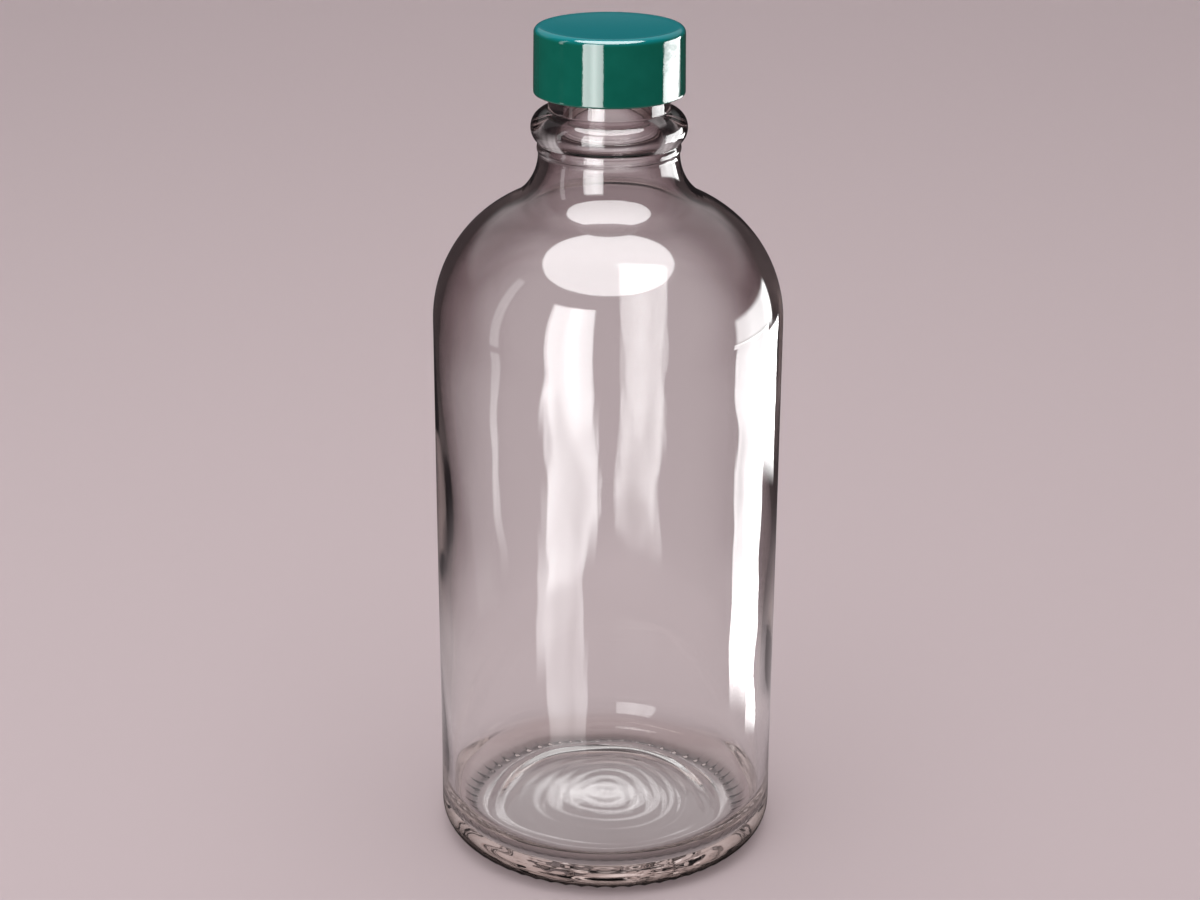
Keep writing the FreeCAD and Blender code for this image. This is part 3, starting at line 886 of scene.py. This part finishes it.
def floor_disc(stage):
    """A flat disc just under the bottle: rings that grow by a steady factor, closed in the middle."""
    rings = np.geomspace(*FLOOR_RADII, FLOOR_RINGS)[:, None]
    angle = np.linspace(0.0, 2 * np.pi, FLOOR_COLUMNS, endpoint=False)[None, :]
    level = 0 * rings + 0 * angle - FLOOR_SINK
    grid = np.stack([rings * np.cos(angle), rings * np.sin(angle), level], axis=2).reshape(-1, 3)
    column = np.arange(FLOOR_COLUMNS)
    following = (column + 1) % FLOOR_COLUMNS
    row = np.arange(FLOOR_RINGS - 1)[:, None] * FLOOR_COLUMNS
    outer = row + FLOOR_COLUMNS
    quads = np.stack([row + column, outer + column, outer + following, row + following], axis=2)
    middle = column[None, :].tolist()
    mesh = bpy.data.meshes.new("floor")
    mesh.from_pydata(grid.tolist(), [], quads.reshape(-1, 4).tolist() + middle)
    piece = bpy.data.objects.new("floor", mesh)
    bpy.context.scene.collection.objects.link(piece)
    mesh.materials.append(floor_material(stage))


# Soft lamps for dull surfaces: name, place, size and power, and the point that they look at
LAMPS = (
    ("overhead", (0.0, -0.15, 1.0), 0.8, 4.2),
    ("left_window", (-0.7, -0.55, 0.55), 0.5, 2.2),
)
LAMP_TARGET = np.array([0.0, 0.0, 0.08])
# The camera's sensor in millimetres, and the nearest and farthest that it sees
SENSOR = 36.0
SIGHT = (0.01, 50.0)
# Thick glass needs more light bounces than usual: all, mirrored and passed on
BOUNCES = (16, 9, 16)


def lamp(name, place, size, power):
    """A soft square lamp that points at the middle of the bottle."""
    light = bpy.data.lights.new(name, "AREA")
    light.size = size
    light.energy = power
    holder = bpy.data.objects.new(name, light)
    bpy.context.scene.collection.objects.link(holder)
    away = np.array(place) - LAMP_TARGET
    flat = math.hypot(away[0], away[1])
    holder.rotation_euler = (math.atan2(flat, away[2]), 0.0, math.atan2(away[0], -away[1]))
    holder.location = place
    holder.visible_glossy = False
    holder.visible_transmission = False
    holder.visible_camera = False


class BOTTLE_OT_stage(bpy.types.Operator):
    """Set the floor, the light and the camera"""
    bl_idname = "bottle.stage"
    bl_label = "Stage"

    def execute(self, context):
        stage = context.scene.bottle_stage
        floor_disc(stage)
        world_light(stage)
        for name, spot, size, power in LAMPS:
            lamp(name, spot, size, power)
        lens = bpy.data.cameras.new("camera")
        lens.sensor_width = SENSOR
        lens.sensor_fit = "HORIZONTAL"
        lens.lens = stage.focal
        lens.clip_start, lens.clip_end = SIGHT
        camera = bpy.data.objects.new("camera", lens)
        context.scene.collection.objects.link(camera)
        place = Matrix.Translation((stage.aside, -stage.distance, stage.height))
        camera.matrix_world = (place @ Matrix.Rotation(math.pi / 2 - stage.pitch, 4, "X")
                               @ Matrix.Rotation(stage.roll, 4, "Z"))
        context.scene.camera = camera
        context.scene.view_settings.view_transform = "Standard"
        cycles = context.scene.cycles
        cycles.max_bounces, cycles.glossy_bounces, cycles.transmission_bounces = BOUNCES
        return {"FINISHED"}


class BOTTLE_OT_glass(bpy.types.Operator):
    """Build the blown glass bottle with its thread"""
    bl_idname = "bottle.glass"
    bl_label = "Glass bottle"

    def execute(self, context):
        glass = context.scene.bottle_glass
        points, owner = bottle_path(glass)
        piece = turned_mesh("glass_bottle", points, bottle_relief(glass, points, owner), glass.columns)
        piece.data.materials.append(glass_material(glass))
        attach(piece, "bottle")
        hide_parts("bottle")
        return {"FINISHED"}


class BOTTLE_OT_cap(bpy.types.Operator):
    """Build the screw cap with its thread"""
    bl_idname = "bottle.cap"
    bl_label = "Screw cap"

    def execute(self, context):
        cap = context.scene.bottle_cap
        points, owner = cap_path(cap)
        relief = cap_relief(cap, context.scene.bottle_glass, points, owner)
        piece = turned_mesh("screw_cap", points, relief, cap.columns)
        piece.data.materials.append(cap_material(cap))
        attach(piece, "cap")
        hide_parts("cap")
        return {"FINISHED"}


class BOTTLE_OT_liner(bpy.types.Operator):
    """Build the sealing disc"""
    bl_idname = "bottle.liner"
    bl_label = "Sealing disc"

    def execute(self, context):
        cap = context.scene.bottle_cap
        points, _ = liner_path(cap)
        piece = turned_mesh("sealing_disc", points, np.zeros((len(points), cap.columns)), cap.columns)
        piece.data.materials.append(liner_material(cap))
        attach(piece, "cap_lift")
        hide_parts("cap_liner")
        return {"FINISHED"}


class BOTTLE_PT_panel(bpy.types.Panel):
    """The bottle's builders in the sidebar"""
    bl_idname = "BOTTLE_PT_panel"
    bl_label = "Boston round bottle"
    bl_space_type = "VIEW_3D"
    bl_region_type = "UI"
    bl_category = "Bottle"

    def draw(self, context):
        for operator in OPERATORS:
            self.layout.operator(operator.bl_idname)


OPERATORS = (BOTTLE_OT_stage, BOTTLE_OT_glass, BOTTLE_OT_cap, BOTTLE_OT_liner)
CLASSES = (GlassSettings, CapSettings, StageSettings) + OPERATORS + (BOTTLE_PT_panel,)


def register():
    for item in CLASSES:
        bpy.utils.register_class(item)
    bpy.types.Scene.bottle_glass = PointerProperty(type=GlassSettings)
    bpy.types.Scene.bottle_cap = PointerProperty(type=CapSettings)
    bpy.types.Scene.bottle_stage = PointerProperty(type=StageSettings)


def unregister():
    del bpy.types.Scene.bottle_glass
    del bpy.types.Scene.bottle_cap
    del bpy.types.Scene.bottle_stage
    for item in reversed(CLASSES):
        bpy.utils.unregister_class(item)


def main():
    """Build everything in order."""
    register()
    bpy.ops.bottle.stage()
    bpy.ops.bottle.glass()
    bpy.ops.bottle.cap()
    bpy.ops.bottle.liner()


if __name__ == "__main__":
    main()
